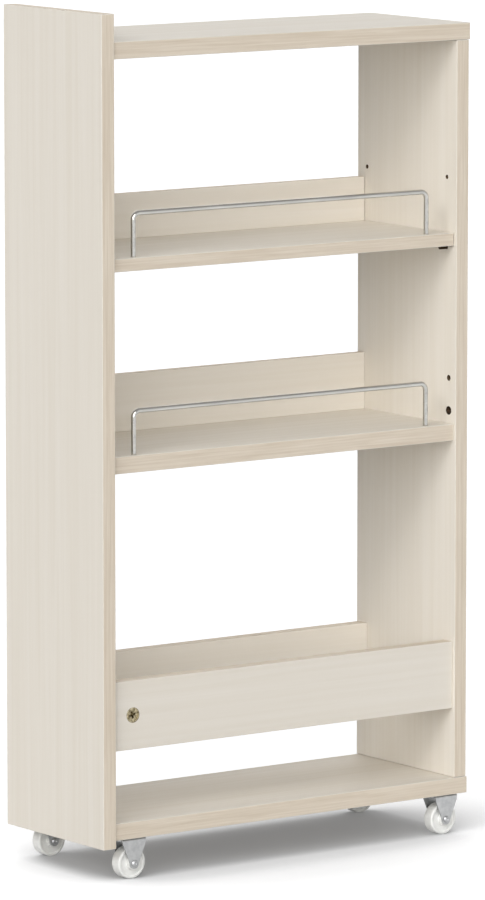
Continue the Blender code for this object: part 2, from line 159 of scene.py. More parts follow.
# Bored particle board shows its pressed chips, about 2 mm long and brown against the foil.
particle_board = new_material("bored_particle_board")
chip_place = add(particle_board, "ShaderNodeTexCoord", {}).outputs["Object"]
chips = add(particle_board, "ShaderNodeTexVoronoi", {"Vector": chip_place, "Scale": 1 / 0.002})
chip_tone = add(particle_board, "ShaderNodeValToRGB", {"Fac": chips.outputs["Color"]})
chip_tone.color_ramp.elements[0].color = linear("4A3C2C")
chip_tone.color_ramp.elements[1].color = linear("7A664B")
chip_relief = add(
    particle_board,
    "ShaderNodeBump",
    {"Strength": 0.4, "Distance": 0.0003, "Height": chips.outputs["Distance"]},
)
chip_shader = add(
    particle_board,
    "ShaderNodeBsdfPrincipled",
    {"Base Color": chip_tone.outputs[0], "Roughness": 0.85, "Normal": chip_relief.outputs[0]},
)
add(particle_board, "ShaderNodeOutputMaterial", {"Surface": chip_shader.outputs[0]})


def axis_of(vector):
    """The index of the axis that a vector is longest along."""
    return max(range(3), key=lambda i: abs(vector[i]))


def bore(piece, centre, axis, diameter, depth, lining):
    """Drills a round hole through centre, with lining as the material of its wall."""
    bpy.ops.object.select_all(action="DESELECT")
    turn = {"X": (0, math.pi / 2, 0), "Y": (math.pi / 2, 0, 0), "Z": (0, 0, 0)}[axis]
    bpy.ops.mesh.primitive_cylinder_add(
        vertices=32, radius=diameter / 2, depth=depth, location=centre, rotation=turn
    )
    bit = bpy.context.object
    bit.data.materials.append(lining)
    hole = piece.modifiers.new("hole", "BOOLEAN")
    hole.object = bit
    hole.solver = "EXACT"
    hole.material_mode = "TRANSFER"
    bpy.context.view_layer.objects.active = piece
    bpy.ops.object.modifier_apply(modifier=hole.name)
    bpy.data.meshes.remove(bit.data)


def bore_for(piece, node, lining, shift=Vector()):
    """Drills the hole that a round CAD node sits in, along the node's own axis."""
    low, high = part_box(node)
    size = high - low
    # The axis is the side that differs from the other two, which are both the diameter.
    middle_size = sorted(size)[1]
    axis = axis_of([side - middle_size for side in size])
    diameter = size[(axis + 1) % 3] + 2 * hole_clearance
    bore(piece, (low + high) / 2 + shift, "XYZ"[axis], diameter, size[axis] + 2 * hole_break, lining)


def foiled_board(node, body, edge_break=arris, drop=0):
    """A board the size of its CAD node, with foil on its faces and bands on its edges.

    The drop lowers its underside to the board that it is glued on.
    """
    low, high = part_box(node)
    low = low - Vector((0, 0, drop))
    size = high - low
    bpy.ops.object.select_all(action="DESELECT")
    bpy.ops.mesh.primitive_cube_add(size=1, location=(low + high) / 2, scale=size)
    board = bpy.context.object
    board.name = node + "_foiled"
    bpy.ops.object.transform_apply(location=True, rotation=True, scale=True)
    bpy.ops.object.mode_set(mode="EDIT")
    bpy.ops.mesh.select_all(action="SELECT")
    bpy.ops.mesh.bevel(offset=edge_break, segments=3, affect="EDGES")
    bpy.ops.object.mode_set(mode="OBJECT")
    long_axis = axis_of(size)
    thin_axis = min(range(3), key=lambda i: size[i])
    cross_axis = 3 - long_axis - thin_axis
    board.data.materials.append(foils["XYZ"[long_axis]])
    board.data.materials.append(bands["XYZ"[long_axis]])
    board.data.materials.append(bands["XYZ"[cross_axis]])
    for face in board.data.polygons:
        facing = axis_of(face.normal)
        if abs(face.normal[facing]) > 0.999:
            face.material_index = {thin_axis: 0, cross_axis: 1, long_axis: 2}[facing]
    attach(board, body)
    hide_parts(node)
    return board


def smooth_rounds(piece):
    """Shades rounded edges and bores smooth and leaves the flat faces flat."""
    bpy.ops.object.select_all(action="DESELECT")
    piece.select_set(True)
    bpy.context.view_layer.objects.active = piece
    bpy.ops.object.shade_smooth_by_angle(angle=crease)
    even = piece.modifiers.new("even", "WEIGHTED_NORMAL")
    even.keep_sharp = True
    bpy.ops.object.modifier_apply(modifier=even.name)


facing_panel = foiled_board("facing_panel", "carcass")
panel_joints = [f"{board}_{side}" for board in ("top", "shelf", "bottom") for side in ("front", "rear")]
for joint in panel_joints + ["front_guard", "rear_guard"]:
    bore_for(facing_panel, joint + "_bolt", particle_board)
for pin in ("shelf_pin_front_left", "shelf_pin_rear_left"):
    bore_for(facing_panel, pin, particle_board)
    bore_for(facing_panel, pin, particle_board, pin_row_pitch)
smooth_rounds(facing_panel)

# The end panel stands between the top and the bottom board. Its inner face has the other pin rows,
# a lined hole and a small spare hole; its outer face has four cams and four screw sinks.
spare_hole_above_insert = Vector((0, 0, 0.0333))
spare_hole = (0.006, 0.016)
screw_head_height = 0.0035
screw_hole = 0.0053


def bore_for_screw(piece, screw):
    """Drills the part of a screw's hole that lies in a piece."""
    low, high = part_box(screw)
    bore(piece, (low + high) / 2, "X", screw_hole, high.x - low.x + 2 * hole_break, particle_board)


end_panel = foiled_board("end_panel", "carcass")
for pin in ("shelf_pin_front_right", "shelf_pin_rear_right"):
    bore_for(end_panel, pin, particle_board)
    bore_for(end_panel, pin, particle_board, pin_row_pitch)
bore_for(end_panel, "threaded_insert", particle_board)
insert_low, insert_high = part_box("threaded_insert")
spare_mouth = (insert_low + insert_high) / 2 + spare_hole_above_insert
spare_mouth.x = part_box("end_panel")[0].x
bore(end_panel, spare_mouth, "X", *spare_hole, particle_board)
for joint in ("end_top_front", "end_top_rear", "end_bottom_front", "end_bottom_rear"):
    bore_for(end_panel, joint + "_bolt", particle_board)
    bore_for(end_panel, joint + "_cam", particle_board)
for screw in ("shelf_screw_front", "shelf_screw_rear", "guard_screw_front", "guard_screw_rear"):
    low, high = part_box(screw)
    sink_middle = (low + high) / 2
    sink_middle.x = high.x
    sink_width = high.y - low.y + 2 * hole_clearance
    bore(end_panel, sink_middle, "X", sink_width, 2 * screw_head_height, particle_board)
    bore_for_screw(end_panel, screw)
smooth_rounds(end_panel)

# The top and the bottom board: 17 mm board that runs past the end panel by a hair. Each is drawn to
# the facing panel by two cams in its underside, and takes the bolts of the end panel.
for node, joint, end_joint in (
    ("top_board", "top", "end_top"),
    ("bottom_board", "bottom", "end_bottom"),
):
    level_board = foiled_board(node, "carcass")
    for side in ("front", "rear"):
        bore_for(level_board, f"{joint}_{side}_bolt", particle_board)
        bore_for(level_board, f"{joint}_{side}_cam", particle_board)
        bore_for(level_board, f"{end_joint}_{side}_bolt", particle_board)
    smooth_rounds(level_board)

# The lower shelf is fixed: cams at the facing panel, screws through the end panel. Its back rail is
# a thin banded strip glued along the rear edge, and two sockets in front take the wire rail.
rail_edge = {"edge_break": 0.0003, "drop": 0.0003}
wire_radius = 0.0025
wire_socket = (2 * wire_radius + 2 * hole_clearance, 0.0165)


def bore_wire_sockets(shelf, wire_node):
    """Drills the two sockets that a wire rail's legs stand in."""
    low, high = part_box(wire_node)
    for x in (low.x + wire_radius, high.x - wire_radius):
        socket = Vector((x, (low.y + high.y) / 2, low.z - hole_clearance + wire_socket[1] / 2))
        bore(shelf, socket, "Z", *wire_socket, particle_board)


lower_shelf = foiled_board("lower_shelf", "carcass")
for side in ("front", "rear"):
    bore_for(lower_shelf, f"shelf_{side}_bolt", particle_board)
    bore_for(lower_shelf, f"shelf_{side}_cam", particle_board)
    bore_for_screw(lower_shelf, f"shelf_screw_{side}")
bore_wire_sockets(lower_shelf, "lower_wire_rail")
smooth_rounds(lower_shelf)
smooth_rounds(foiled_board("lower_back_rail", "carcass", **rail_edge))

# The upper shelf is a thinner board that lies loose on four pins and lifts out with its back rail
# and its wire rail, so that it can go a row higher.
upper_shelf = foiled_board("upper_shelf", "lift_out_shelf")
bore_wire_sockets(upper_shelf, "upper_wire_rail")
smooth_rounds(upper_shelf)
smooth_rounds(foiled_board("upper_back_rail", "lift_out_shelf", **rail_edge))

# The guards: two 15 mm boards on edge that keep tall bottles in. A cam in the outer face holds the
# left end of each, and a screw through the end panel the right end.
for side in ("front", "rear"):
    guard = foiled_board(side + "_guard", "carcass")
    bore_for(guard, side + "_guard_bolt", particle_board)
    bore_for(guard, side + "_guard_cam", particle_board)
    bore_for_screw(guard, "guard_screw_" + side)
    smooth_rounds(guard)

# The wire rails: 5 mm drawn steel wire, bent twice to a flat arch and plated bright, with its ends
# pushed into the shelf's sockets.
wire_bend_radius = 0.0065
wire_facets = 24
bend_steps = 10
same_point = 0.00001

# Bright plate on wire mirrors the pale room and its dimmer ceiling, with faint draw lines along it.
bright_wire = new_material("bright_plated_drawn_wire")
wire_place = add(bright_wire, "ShaderNodeTexCoord", {}).outputs["Object"]
draw_stretch = (1 / 0.05, 1 / 0.0006, 1 / 0.004)
draw_place = add(bright_wire, "ShaderNodeMapping", {"Vector": wire_place, "Scale": draw_stretch})
draw_lines = add(
    bright_wire, "ShaderNodeTexNoise", {"Vector": draw_place.outputs[0], "Scale": 1, "Detail": 3}
)
wire_tone = add(bright_wire, "ShaderNodeValToRGB", {"Fac": draw_lines.outputs[0]})
wire_tone.color_ramp.elements[0].position = 0.3
wire_tone.color_ramp.elements[0].color = linear("B1B0AC")
wire_tone.color_ramp.elements[1].position = 0.7
wire_tone.color_ramp.elements[1].color = linear("C8C7C2")
wire_gloss = add(
    bright_wire,
    "ShaderNodeMapRange",
    {"Value": draw_lines.outputs[0], "From Min": 0.3, "From Max": 0.7, "To Min": 0.16, "To Max": 0.09},
)
wire_shader = add(
    bright_wire,
    "ShaderNodeBsdfPrincipled",
    {"Base Color": wire_tone.outputs[0], "Metallic": 1, "Roughness": wire_gloss.outputs[0]},
)
add(bright_wire, "ShaderNodeOutputMaterial", {"Surface": wire_shader.outputs[0]})


def bent_wire(node, body):
    """Extrudes a ring of wire up one leg, round two bends and down the other leg."""
    low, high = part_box(node)
    left = low.x + wire_radius
    right = high.x - wire_radius
    row = (low.y + high.y) / 2
    bend_level = high.z - wire_radius - wire_bend_radius
    bpy.ops.object.select_all(action="DESELECT")
    bpy.ops.mesh.primitive_circle_add(vertices=wire_facets, radius=wire_radius, location=(left, row, low.z))
    wire = bpy.context.object
    wire.name = node + "_bent"
    bpy.ops.object.transform_apply(location=True, rotation=True, scale=True)
    bpy.ops.object.mode_set(mode="EDIT")
    bpy.ops.mesh.select_all(action="SELECT")
    leg = bend_level - low.z
    bpy.ops.mesh.extrude_region_move(TRANSFORM_OT_translate={"value": (0, 0, leg)})
    first_bend = (left + wire_bend_radius, row, bend_level)
    bpy.ops.mesh.spin(steps=bend_steps, angle=-math.pi / 2, center=first_bend, axis=(0, 1, 0))
    bar = right - left - 2 * wire_bend_radius
    bpy.ops.mesh.extrude_region_move(TRANSFORM_OT_translate={"value": (bar, 0, 0)})
    second_bend = (right - wire_bend_radius, row, bend_level)
    bpy.ops.mesh.spin(steps=bend_steps, angle=-math.pi / 2, center=second_bend, axis=(0, 1, 0))
    bpy.ops.mesh.extrude_region_move(TRANSFORM_OT_translate={"value": (0, 0, -leg)})
    bpy.ops.mesh.select_all(action="SELECT")
    bpy.ops.mesh.remove_doubles(threshold=same_point)
    bpy.ops.mesh.fill_holes(sides=0)
    bpy.ops.mesh.select_all(action="SELECT")
    bpy.ops.mesh.normals_make_consistent(inside=False)
    bpy.ops.object.mode_set(mode="OBJECT")
    bpy.ops.object.shade_smooth_by_angle(angle=crease)
    wire.data.materials.append(bright_wire)
    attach(wire, body)
    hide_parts(node)


bent_wire("lower_wire_rail", "carcass")
bent_wire("upper_wire_rail", "lift_out_shelf")

# The cams: 15 mm zinc castings, passivated yellow, that lie flush in bored pockets. Each has a rim,
# a crossed recess for the driver and an arrow that points to its bolt.
cam_radius = 0.0075
cam_height = 0.012
cam_rim = 0.001
cam_face_sink = 0.0009
cam_face_margin = cam_rim / 3
cam_edge = 0.00015
cross_length = 0.0096
cross_width = 0.003
cross_depth = 0.006
cross_taper = 0.6
cross_turn = math.radians(15)
arrow_size = 0.0015
arrow_reach = 0.0048
arrow_cut = 2.5 * cam_face_sink

# Passivated zinc is a dull straw yellow that wanders to green and grey over a few millimetres.
passivated_zinc = new_material("yellow_passivated_zinc_casting")
zinc_place = add(passivated_zinc, "ShaderNodeTexCoord", {}).outputs["Object"]
blush = add(passivated_zinc, "ShaderNodeTexNoise", {"Vector": zinc_place, "Scale": 1 / 0.0025, "Detail": 4})
zinc_tone = add(passivated_zinc, "ShaderNodeValToRGB", {"Fac": blush.outputs[0]})
zinc_tone.color_ramp.elements[0].position = 0.35
zinc_tone.color_ramp.elements[0].color = linear("6B6248")
zinc_tone.color_ramp.elements[1].position = 0.65
zinc_tone.color_ramp.elements[1].color = linear("CDC1A2")
cast_grit = add(
    passivated_zinc, "ShaderNodeTexNoise", {"Vector": zinc_place, "Scale": 1 / 0.0005, "Detail": 2}
)
zinc_gloss = add(
    passivated_zinc,
    "ShaderNodeMapRange",
    {"Value": blush.outputs[0], "From Min": 0.3, "From Max": 0.7, "To Min": 0.32, "To Max": 0.46},
)
zinc_relief = add(
    passivated_zinc, "ShaderNodeBump", {"Strength": 0.2, "Distance": 0.0001, "Height": cast_grit.outputs[0]}
)
zinc_shader = add(
    passivated_zinc,
    "ShaderNodeBsdfPrincipled",
    {
        "Base Color": zinc_tone.outputs[0],
        "Metallic": 1,
        "Roughness": zinc_gloss.outputs[0],
        "Normal": zinc_relief.outputs[0],
    },
)
add(passivated_zinc, "ShaderNodeOutputMaterial", {"Surface": zinc_shader.outputs[0]})


def pick(kind, wanted):
    """In edit mode, selects only those vertices, edges or faces that wanted() says yes to."""
    bpy.ops.mesh.select_mode(type=kind)
    bpy.ops.mesh.select_all(action="DESELECT")
    data = bpy.context.edit_object.data
    mesh = bmesh.from_edit_mesh(data)
    for element in {"VERT": mesh.verts, "EDGE": mesh.edges, "FACE": mesh.faces}[kind]:
        if wanted(element):
            element.select_set(True)
    mesh.select_flush_mode()
    bmesh.update_edit_mesh(data)


def carve(piece, tool):
    """Cuts a tool's shape out of a piece, and throws the tool away."""
    cut = piece.modifiers.new("cut", "BOOLEAN")
    cut.object = tool
    cut.solver = "EXACT"
    bpy.context.view_layer.objects.active = piece
    bpy.ops.object.modifier_apply(modifier=cut.name)
    bpy.data.meshes.remove(tool.data)


def carve_cross(piece, turn):
    """Presses a tapered driver cross into the face of a piece at Z = 0."""
    for quarter in (0, math.pi / 2):
        bpy.ops.object.select_all(action="DESELECT")
        bpy.ops.mesh.primitive_cube_add(
            size=1, scale=(cross_length, cross_width, 2 * cross_depth), rotation=(0, 0, turn + quarter)
        )
        wing = bpy.context.object
        bpy.ops.object.transform_apply(location=True, rotation=True, scale=True)
        bpy.ops.object.mode_set(mode="EDIT")
        pick("FACE", lambda face: face.normal.z < -0.9)
        bpy.ops.transform.resize(value=(cross_taper, cross_taper, 1))
        bpy.ops.object.mode_set(mode="OBJECT")
        carve(piece, wing)


def set_copy(pattern, name, place):
    """A copy of a modelled piece with its own mesh, set where a matrix puts it."""
    copy = pattern.copy()
    copy.data = pattern.data.copy()
    copy.name = name
    copy.data.transform(place)
    bpy.context.scene.collection.objects.link(copy)
    return copy


def seat_matrix(point, face, towards):
    """Turns +Z to face and +X to towards, and moves the origin to point."""
    face = Vector(face)
    towards = Vector(towards)
    turn = Matrix((towards, face.cross(towards), face)).transposed()
    return Matrix.Translation(point) @ turn.to_4x4()


bpy.ops.object.select_all(action="DESELECT")
bpy.ops.mesh.primitive_cylinder_add(
    vertices=48, radius=cam_radius, depth=cam_height, location=(0, 0, -cam_height / 2)
)
cam_pattern = bpy.context.object
bpy.ops.object.transform_apply(location=True, rotation=True, scale=True)
bpy.ops.object.mode_set(mode="EDIT")
pick("FACE", lambda face: face.normal.z > 0.9)
bpy.ops.mesh.inset(thickness=cam_rim)
bpy.ops.mesh.extrude_region_move(TRANSFORM_OT_translate={"value": (0, 0, -cam_face_sink)})
bpy.ops.mesh.inset(thickness=cam_face_margin)
bpy.ops.object.mode_set(mode="OBJECT")
carve_cross(cam_pattern, cross_turn)
bpy.ops.object.select_all(action="DESELECT")
bpy.ops.mesh.primitive_cylinder_add(vertices=3, radius=arrow_size, depth=arrow_cut)
arrow = bpy.context.object
arrow.rotation_euler = (0, 0, -math.pi / 2)
arrow.location = (arrow_reach, 0, -cam_face_sink)
bpy.ops.object.transform_apply(location=True, rotation=True, scale=True)
carve(cam_pattern, arrow)
soft_cast = cam_pattern.modifiers.new("soft_cast", "BEVEL")
soft_cast.width = cam_edge
soft_cast.segments = 2
soft_cast.limit_method = "ANGLE"
soft_cast.angle_limit = crease
bpy.context.view_layer.objects.active = cam_pattern
bpy.ops.object.modifier_apply(modifier=soft_cast.name)
cam_pattern.data.materials.append(passivated_zinc)
cam_seats = {
    "front_guard": ((0, -1, 0), (-1, 0, 0)),
    "rear_guard": ((0, 1, 0), (-1, 0, 0)),
}
for side in ("front", "rear"):
    cam_seats[f"top_{side}"] = ((0, 0, -1), (-1, 0, 0))
    cam_seats[f"shelf_{side}"] = ((0, 0, -1), (-1, 0, 0))
    cam_seats[f"bottom_{side}"] = ((0, 0, -1), (-1, 0, 0))
    cam_seats[f"end_top_{side}"] = ((1, 0, 0), (0, 0, 1))
    cam_seats[f"end_bottom_{side}"] = ((1, 0, 0), (0, 0, -1))
for joint, (cam_facing, to_bolt) in cam_seats.items():
    low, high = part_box(joint + "_cam")
    cam_face = (low + high) / 2 + Vector(cam_facing) * cam_height / 2
    cam = set_copy(cam_pattern, joint + "_cam_cast", seat_matrix(cam_face, cam_facing, to_bolt))
    bore_for(cam, joint + "_bolt", passivated_zinc)
    smooth_rounds(cam)
    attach(cam, "carcass")
    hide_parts(joint + "_cam")
bpy.data.meshes.remove(cam_pattern.data)

# The cam bolts are wholly inside the boards, so the turned solids stay as they are and take the
# same passivated zinc.
for joint in cam_seats:
    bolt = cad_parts[joint + "_bolt"]
    bolt.material_slots[0].material = passivated_zinc

# The end panel's screws: countersunk steel screws, zinc plated, with a crossed recess, sunk just
# below the foil.
screw_radii = (0.0045, 0.0045, 0.0024, 0.0024, 0.0005)
screw_steps = (0.0008, 0.0027, 0.0367, 0.0048)
screw_turn = math.radians(17)

# Zinc plate on pressed or rolled steel is a soft grey mirror, mottled over 5 mm by the bath.
zinc_plate = new_material("zinc_plated_pressed_steel")
plate_place = add(zinc_plate, "ShaderNodeTexCoord", {}).outputs["Object"]
mottle = add(zinc_plate, "ShaderNodeTexNoise", {"Vector": plate_place, "Scale": 1 / 0.005, "Detail": 5})
plate_tone = add(zinc_plate, "ShaderNodeValToRGB", {"Fac": mottle.outputs[0]})
plate_tone.color_ramp.elements[0].position = 0.35
plate_tone.color_ramp.elements[0].color = linear("AEAFB0")
plate_tone.color_ramp.elements[1].position = 0.65
plate_tone.color_ramp.elements[1].color = linear("C0C1C1")
plate_gloss = add(
    zinc_plate,
    "ShaderNodeMapRange",
    {"Value": mottle.outputs[0], "From Min": 0.3, "From Max": 0.7, "To Min": 0.36, "To Max": 0.48},
)
roll_stretch = (1 / 0.0004, 1 / 0.0004, 1 / 0.01)
roll_place = add(zinc_plate, "ShaderNodeMapping", {"Vector": plate_place, "Scale": roll_stretch})
roll_lines = add(zinc_plate, "ShaderNodeTexNoise", {"Vector": roll_place.outputs[0], "Scale": 1, "Detail": 2})
plate_relief = add(
    zinc_plate, "ShaderNodeBump", {"Strength": 0.12, "Distance": 0.00005, "Height": roll_lines.outputs[0]}
)
plate_shader = add(
    zinc_plate,
    "ShaderNodeBsdfPrincipled",
    {
        "Base Color": plate_tone.outputs[0],
        "Metallic": 1,
        "Roughness": plate_gloss.outputs[0],
        "Normal": plate_relief.outputs[0],
    },
)
add(zinc_plate, "ShaderNodeOutputMaterial", {"Surface": plate_shader.outputs[0]})


def turned_screw(facets, radii, steps):
    """Extrudes a screw down from its face at Z = 0, a step for each change of radius."""
    bpy.ops.object.select_all(action="DESELECT")
    bpy.ops.mesh.primitive_circle_add(vertices=facets, radius=radii[0], fill_type="NGON")
    bpy.ops.object.mode_set(mode="EDIT")
    bpy.ops.mesh.select_all(action="SELECT")
    for radius_before, radius, step in zip(radii, radii[1:], steps):
        bpy.ops.mesh.extrude_region_move(TRANSFORM_OT_translate={"value": (0, 0, -step)})
        shrink = radius / radius_before
        bpy.ops.transform.resize(value=(shrink, shrink, 1))
    bpy.ops.mesh.select_all(action="SELECT")
    bpy.ops.mesh.fill_holes(sides=0)
    bpy.ops.mesh.select_all(action="SELECT")
    bpy.ops.mesh.normals_make_consistent(inside=False)
    bpy.ops.object.mode_set(mode="OBJECT")
    return bpy.context.object


screw_pattern = turned_screw(32, screw_radii, screw_steps)
carve_cross(screw_pattern, screw_turn)
screw_pattern.data.materials.append(zinc_plate)
for screw in ("shelf_screw_front", "shelf_screw_rear", "guard_screw_front", "guard_screw_rear"):
    low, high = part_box(screw)
    screw_face = (low + high) / 2
    screw_face.x = high.x
    driven = set_copy(screw_pattern, screw + "_driven", seat_matrix(screw_face, (1, 0, 0), (0, 0, 1)))
    smooth_rounds(driven)
    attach(driven, "carcass")
    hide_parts(screw)
bpy.data.meshes.remove(screw_pattern.data)

# The shelf pins: 4 mm turned steel dowels with a rounded nose, pushed into the panels under the upper
# shelf. They are coloured near black as painted shade, for the shadow that they sit in under the shelf.
corners = ("front_left", "front_right", "rear_left", "rear_right")
pin_nose = 0.0012

# Near-black steel with brown blotches about 2 mm across; the near black is painted shade, for the
# shadow under the shelf and inside the lined hole.
shade_dark_steel = new_material("turned_steel_painted_shade")
shade_dark_place = add(shade_dark_steel, "ShaderNodeTexCoord", {}).outputs["Object"]
brown_blotches = add(shade_dark_steel, "ShaderNodeTexNoise", {"Vector": shade_dark_place, "Scale": 1 / 0.002, "Detail": 4})
shade_dark_tone = add(shade_dark_steel, "ShaderNodeValToRGB", {"Fac": brown_blotches.outputs[0]})
shade_dark_tone.color_ramp.elements[0].position = 0.4
shade_dark_tone.color_ramp.elements[0].color = linear("2A221B")
shade_dark_tone.color_ramp.elements[1].position = 0.75
shade_dark_tone.color_ramp.elements[1].color = linear("5A4836")
shade_dark_gloss = add(
    shade_dark_steel,
    "ShaderNodeMapRange",
    {"Value": brown_blotches.outputs[0], "From Min": 0.3, "From Max": 0.7, "To Min": 0.5, "To Max": 0.38},
)
shade_dark_shader = add(
    shade_dark_steel,
    "ShaderNodeBsdfPrincipled",
    {"Base Color": shade_dark_tone.outputs[0], "Metallic": 1, "Roughness": shade_dark_gloss.outputs[0]},
)
add(shade_dark_steel, "ShaderNodeOutputMaterial", {"Surface": shade_dark_shader.outputs[0]})

for corner in corners:
    node = "shelf_pin_" + corner
    low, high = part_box(node)
    bpy.ops.object.select_all(action="DESELECT")
    bpy.ops.mesh.primitive_cylinder_add(
        vertices=24,
        radius=(high.z - low.z) / 2,
        depth=high.x - low.x,
        location=(low + high) / 2,
        rotation=(0, math.pi / 2, 0),
    )
    pin = bpy.context.object
    pin.name = node + "_turned"
    bpy.ops.object.transform_apply(location=True, rotation=True, scale=True)
    bpy.ops.object.mode_set(mode="EDIT")
    pick("FACE", lambda face: abs(face.normal.x) > 0.9)
    bpy.ops.mesh.region_to_loop()
    bpy.ops.mesh.bevel(offset=pin_nose, segments=4, affect="EDGES")
    bpy.ops.object.mode_set(mode="OBJECT")
    # Painted shade: the pins' near black stands for the shadow under the shelf.
    pin.data.materials.append(shade_dark_steel)
    smooth_rounds(pin)
    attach(pin, "carcass")
    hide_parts(node)

# The lined hole in the end panel: a thin threaded sleeve of the same near-black steel, pressed flush into
# the board, for a screw that joins the cart to a second one. Its near black is painted shade, for the
# dark inside of the hole.
insert_bore = 0.0035
thread_pitch = 0.001
thread_turns = 9
thread_open = 1.1

bpy.ops.object.select_all(action="DESELECT")
bpy.ops.mesh.primitive_cylinder_add(
    vertices=32,
    radius=(insert_high.y - insert_low.y) / 2,
    depth=insert_high.x - insert_low.x,
    location=(insert_low + insert_high) / 2,
    rotation=(0, math.pi / 2, 0),
)
sleeve = bpy.context.object
sleeve.name = "threaded_insert_pressed"
bpy.ops.object.transform_apply(location=True, rotation=True, scale=True)
bpy.ops.object.mode_set(mode="EDIT")
pick("FACE", lambda face: face.normal.x < -0.9)
bpy.ops.mesh.inset(thickness=(insert_high.y - insert_low.y) / 2 - insert_bore)
for turn in range(thread_turns):
    bpy.ops.mesh.extrude_region_move(TRANSFORM_OT_translate={"value": (thread_pitch / 2, 0, 0)})
    bpy.ops.transform.resize(value=(1, thread_open, thread_open))
    bpy.ops.mesh.extrude_region_move(TRANSFORM_OT_translate={"value": (thread_pitch / 2, 0, 0)})
    bpy.ops.transform.resize(value=(1, 1 / thread_open, 1 / thread_open))
bpy.ops.object.mode_set(mode="OBJECT")
# Painted shade: the sleeve's near black stands for the dark inside of the hole.
sleeve.data.materials.append(shade_dark_steel)
smooth_rounds(sleeve)
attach(sleeve, "carcass")
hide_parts("threaded_insert")

# The caster forks: 1.6 mm steel strip, zinc plated, blanked to a taper and bent to an upside-down
# U, with round feet at the axle. Two screws hold each one under the bottom board.
fork_steel = 0.0016
fork_bend_radius = 0.0026
fork_foot_radius = 0.0052
fork_foot_leans = (18, 36, 54, 72)
fork_edge = 0.0003
fork_shoulder = 0.96
fold = math.radians(50)
axle_level = 0.016
axle_radius = 0.0025
caster_screw_pitch = 0.019
caster_screw_hole = 0.0041

fork_low, fork_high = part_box("fork_front_left")
fork_size = fork_high - fork_low
bpy.ops.object.select_all(action="DESELECT")
bpy.ops.mesh.primitive_plane_add(size=1, location=(0, 0, fork_high.z))
fork_pattern = bpy.context.object
fork_pattern.scale = (fork_size.x, fork_size.y, 1)
bpy.ops.object.transform_apply(location=True, rotation=True, scale=True)
bpy.ops.object.mode_set(mode="EDIT")
pick("EDGE", lambda edge: abs(edge.verts[0].co.y - edge.verts[1].co.y) < same_point)
fork_cuts = [
    (fork_high.z, fork_size.x),
    (fork_high.z - 2 * fork_bend_radius, fork_shoulder * fork_size.x),
    (axle_level, 2 * fork_foot_radius),
]
for lean in fork_foot_leans:
    share = math.sin(math.radians(lean)) / math.sin(math.radians(fork_foot_leans[-1]))
    foot_width = 2 * fork_foot_radius * math.cos(math.radians(lean))
    fork_cuts.append((axle_level - share * (axle_level - fork_low.z), foot_width))
for (level_before, width_before), (level, width) in zip(fork_cuts, fork_cuts[1:]):
    bpy.ops.mesh.extrude_region_move(TRANSFORM_OT_translate={"value": (0, 0, level - level_before)})
    bpy.ops.transform.resize(value=(width / width_before, 1, 1))
pick(
    "EDGE",
    lambda edge: abs(edge.verts[0].co.y - edge.verts[1].co.y) < same_point
    and all(abs(v.co.z - fork_high.z) < same_point for v in edge.verts),
)
bpy.ops.mesh.bevel(offset=fork_bend_radius, segments=6, affect="EDGES")
bpy.ops.mesh.select_all(action="SELECT")
bpy.ops.mesh.remove_doubles(threshold=same_point)
bpy.ops.mesh.normals_make_consistent(inside=False)
bpy.ops.object.mode_set(mode="OBJECT")
strip = fork_pattern.modifiers.new("strip", "SOLIDIFY")
strip.thickness = fork_steel
strip.offset = -1
bpy.ops.object.modifier_apply(modifier=strip.name)
dulled = fork_pattern.modifiers.new("dulled", "BEVEL")
dulled.width = fork_edge
dulled.segments = 2
dulled.limit_method = "ANGLE"
dulled.angle_limit = fold
bpy.ops.object.modifier_apply(modifier=dulled.name)
fork_pattern.data.materials.append(zinc_plate)
axle_hole = 2 * axle_radius + 2 * hole_clearance
bore(fork_pattern, (0, 0, axle_level), "Y", axle_hole, 2 * fork_size.y, zinc_plate)
for side in (-1, 1):
    screw_spot = (side * caster_screw_pitch / 2, 0, fork_high.z)
    bore(fork_pattern, screw_spot, "Z", caster_screw_hole, 4 * fork_steel, zinc_plate)
for corner in corners:
    low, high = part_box("fork_" + corner)
    middle = (low + high) / 2
    fork = set_copy(fork_pattern, f"fork_{corner}_pressed", Matrix.Translation((middle.x, middle.y, 0)))
    smooth_rounds(fork)
    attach(fork, "carcass")
    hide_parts("fork_" + corner)
bpy.data.meshes.remove(fork_pattern.data)

# The caster wheels: moulded white nylon with a rounded tread, a dished web and a hub boss that runs
# on the axle between the cheeks.
wheel_tread_round = 0.0016
wheel_rim = 0.0028
wheel_dish = 0.0012
wheel_hub_radius = 0.0065
wheel_width = 0.013
wheel_bore_radius = 0.0027
wheel_edge_round = 0.0004

# Natural nylon is milky white with a waxy shine, and the mould leaves it faintly uneven.
nylon = new_material("moulded_white_nylon")
nylon_place = add(nylon, "ShaderNodeTexCoord", {}).outputs["Object"]
flow = add(nylon, "ShaderNodeTexNoise", {"Vector": nylon_place, "Scale": 1 / 0.006, "Detail": 3})
nylon_tone = add(nylon, "ShaderNodeValToRGB", {"Fac": flow.outputs[0]})
nylon_tone.color_ramp.elements[0].position = 0.3
nylon_tone.color_ramp.elements[0].color = linear("E5E5E1")
nylon_tone.color_ramp.elements[1].position = 0.7
nylon_tone.color_ramp.elements[1].color = linear("EEEEEB")
nylon_gloss = add(
    nylon,
    "ShaderNodeMapRange",
    {"Value": flow.outputs[0], "From Min": 0.3, "From Max": 0.7, "To Min": 0.28, "To Max": 0.38},
)
nylon_relief = add(nylon, "ShaderNodeBump", {"Strength": 0.1, "Distance": 0.0002, "Height": flow.outputs[0]})
